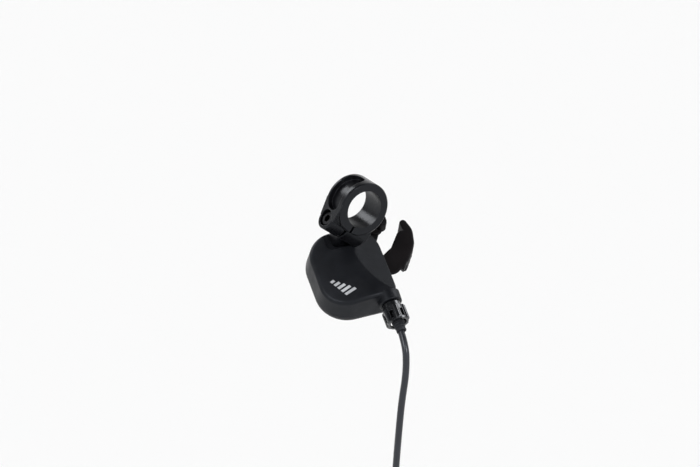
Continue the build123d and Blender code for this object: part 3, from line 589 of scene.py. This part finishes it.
def groove(mesh, along, spacing, depth, low, high):
    """Grip grooves in the face that the thumb pushes, spaced along a direction, faded out at two heights."""
    normals = [vert.normal.copy() for vert in mesh.vertices]
    for vert, normal in zip(mesh.vertices, normals):
        height = (vert.co - POD_AT).dot(POD_OUT) / MM
        spot = (vert.co - POD_AT).dot(along) / MM
        facing = clamped((normal.dot(PUSH) - FACING_FROM) / FACING_SPAN)
        inside = clamped((height - low) / GROOVE_FADE) * clamped((high - height) / GROOVE_FADE)
        wave = 0.5 - 0.5 * cos(tau * spot / spacing)
        vert.co -= PUSH * (wave ** 2 * depth * facing * inside * MM)
    mesh.update()


def pad(node, body, solids, voxel, grooves):
    """A thumb pad made of a few pillows melted together and grooved."""
    form = bmesh.new()
    for circles, low, high, keep in solids:
        pillow(form, outline(circles, keep), low, high)
    mesh = merged(form, node, voxel, rounds=6)
    groove(mesh, **grooves)
    return place(node + "_skin", mesh, body, SLOT_OF[node], node)


def anywhere(spot):
    """A pillow's plan as it is drawn."""
    return True


def past_slot(spot):
    """A plan cut back to where the thin neck starts, just past the covers' slot."""
    return spot.y < NECK_FROM_Y


def past_covers(spot):
    """A plan cut back to what stays outside the covers at every angle of the lever."""
    return (spot - SHAFT).length > COVERS_R


PUSH = (POD_X * 0.25 - POD_Y).normalized()                       # outwards from the faces that thumbs press
MAIN_TOP, NECK_LOW, WEB_LOW, BLADE_LOW = -4.2, -5.8, -8.1, -15.9
MAIN_BEND, MAIN_END = (8.0, -35.5, 6.0), (18.0, -41.0, 4.2)
MAIN_BLADE = [(3.0, -37.0, 2.4), (12.0, -43.0, 2.8), (21.0, -45.0, 2.8), (27.0, -44.0, 2.2)]
pad(
    "main_lever_pad", "main_lever",
    [
        ([(1.5, -27.0, 7.0), MAIN_BEND, MAIN_END], NECK_LOW, MAIN_TOP, past_slot),
        ([(1.5, -29.5, 7.0), MAIN_BEND, MAIN_END], WEB_LOW, MAIN_TOP, past_covers),
        (MAIN_BLADE, BLADE_LOW, MAIN_TOP, anywhere),
    ],
    voxel=0.3, grooves=dict(along=POD_X, spacing=3.0, depth=0.8, low=-15.5, high=-5.0),
)
RELEASE_LOW, RELEASE_TOP, RELEASE_ROOT_TOP = -4.05, 4.3, -1.7
RELEASE_BLADE = [(*polar(35, -41), 3.0), (*polar(42, -34), 2.6)]
RELEASE_ROOT = [(*polar(32, -36.5), 4.2), (*polar(38, -36.5), 4.0)]
pad(
    "release_lever_pad", "release_lever",
    [
        (RELEASE_BLADE, RELEASE_LOW, RELEASE_TOP, anywhere),
        (RELEASE_ROOT, RELEASE_LOW, RELEASE_ROOT_TOP, anywhere),
    ],
    voxel=0.26, grooves=dict(along=POD_OUT, spacing=2.2, depth=0.5, low=-3.0, high=4.0),
)


# ---------------------------------------------------------------- print on the cover, mm in the pod frame
MARK_AT, MARK_TURN = (-13.9, 10.6), 3.653                        # middle of the row's foot; its turn, radians
BARS, BAR_WIDE, BAR_GAP = 5, 1.7, 1.1
BAR_LOW, BAR_STEP, BAR_LEAN = 2.2, 1.15, 0.22                    # first bar's height, each bar's gain, slant
BAR_ROWS, BAR_COLUMNS = 8, 3                                     # faces up and across a bar
PRINT_LIFTS = (-0.05, 0.06)                                      # its back and front, above the cover
ABOVE_COVER = 30


def print_marks():
    """A row of rising bars, laid on the cover's curved top."""
    shell = nodes["upper_cover"].data
    points = [vert.co for vert in shell.vertices]
    cover = BVHTree.FromPolygons(points, [face.vertices for face in shell.polygons])
    form = bmesh.new()

    def corner(across, up):
        """Back and front vertices at a point of the row, which is measured along its foot and up its bars."""
        x = MARK_AT[0] + across * cos(MARK_TURN) - up * sin(MARK_TURN)
        y = MARK_AT[1] + across * sin(MARK_TURN) + up * cos(MARK_TURN)
        hit = cover.ray_cast(pod(x, y, ABOVE_COVER), -POD_OUT)[0]
        return [form.verts.new(hit + POD_OUT * lift * MM) for lift in PRINT_LIFTS]

    for bar in range(BARS):
        left = (bar - BARS / 2) * (BAR_WIDE + BAR_GAP)
        tall = BAR_LOW + BAR_STEP * bar
        rows = []
        for step in range(BAR_ROWS + 1):
            up = tall * step / BAR_ROWS
            start = left + BAR_LEAN * up
            sides = [BAR_WIDE * side / BAR_COLUMNS for side in range(BAR_COLUMNS + 1)]
            rows.append([corner(start + side, up) for side in sides])
        for low, high in zip(rows, rows[1:]):
            for one, two, three, four in zip(low, low[1:], high[1:], high):
                form.faces.new((one[1], two[1], three[1], four[1]))
                form.faces.new((one[0], four[0], three[0], two[0]))
            for edge in (0, BAR_COLUMNS):
                form.faces.new((low[edge][0], low[edge][1], high[edge][1], high[edge][0]))
        for row in (rows[0], rows[-1]):
            for one, two in zip(row, row[1:]):
                form.faces.new((one[0], one[1], two[1], two[0]))
    return finish_mesh(form, "print_marks")


marks = bpy.data.objects.new("print_marks", print_marks())
bpy.context.scene.collection.objects.link(marks)
marks.data.materials.append(MATERIALS["mark_print"])
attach(marks, "chassis")


# ---------------------------------------------------------------- floor and light
FLOOR_DROP, FLOOR_HALF = 1.25, 40.0                              # a bar's height; past every view's edge
floor_mesh = bpy.data.meshes.new("floor")
floor_form = bmesh.new()
bmesh.ops.create_grid(floor_form, x_segments=1, y_segments=1, size=FLOOR_HALF)
floor_form.to_mesh(floor_mesh)
floor_form.free()
floor_mesh.materials.append(material("floor_pale", (0.86, 0.86, 0.86), 0.9, specular=0.1))
floor = bpy.data.objects.new("floor", floor_mesh)
floor.location = (0, 0, cad_box[0].z - FLOOR_DROP)
bpy.context.scene.collection.objects.link(floor)

SKY = ((0.12, 0.95), (0.55, 0.07))                               # (height, tone): bright low, dim overhead
world = bpy.data.worlds.new("studio")
bpy.context.scene.world = world
world.use_nodes = True
sky = world.node_tree.nodes
wires = world.node_tree.links
where = sky.new("ShaderNodeTexCoord")
parts = sky.new("ShaderNodeSeparateXYZ")
fade = sky.new("ShaderNodeValToRGB")
for element, (height, tone) in zip(fade.color_ramp.elements, SKY):
    element.position = height
    element.color = (tone, tone, tone, 1)
wires.new(where.outputs["Generated"], parts.inputs["Vector"])
wires.new(parts.outputs["Z"], fade.inputs["Fac"])
wires.new(fade.outputs["Color"], sky["Background"].inputs["Color"])
bpy.context.scene.view_settings.view_transform = "Standard"


def soft_sun(name, source, strength, softness):
    """A distant light from a direction, which reaches the whole floor; softness is its spread in degrees."""
    data = bpy.data.lights.new(name, "SUN")
    data.energy = strength
    data.angle = softness * pi / 180
    lamp = bpy.data.objects.new(name, data)
    lamp.rotation_mode = "QUATERNION"
    lamp.rotation_quaternion = (-Vector(source)).to_track_quat("-Z", "Y")
    bpy.context.scene.collection.objects.link(lamp)


soft_sun("front", (-0.3, 0.8, 0.75), strength=1.25, softness=25)
soft_sun("rear", (0.05, -0.9, 0.8), strength=1.05, softness=28)
soft_sun("inboard", (-0.9, -0.15, 0.6), strength=1.15, softness=16)
soft_sun("outboard", (0.8, 0.25, 0.7), strength=1.25, softness=30)
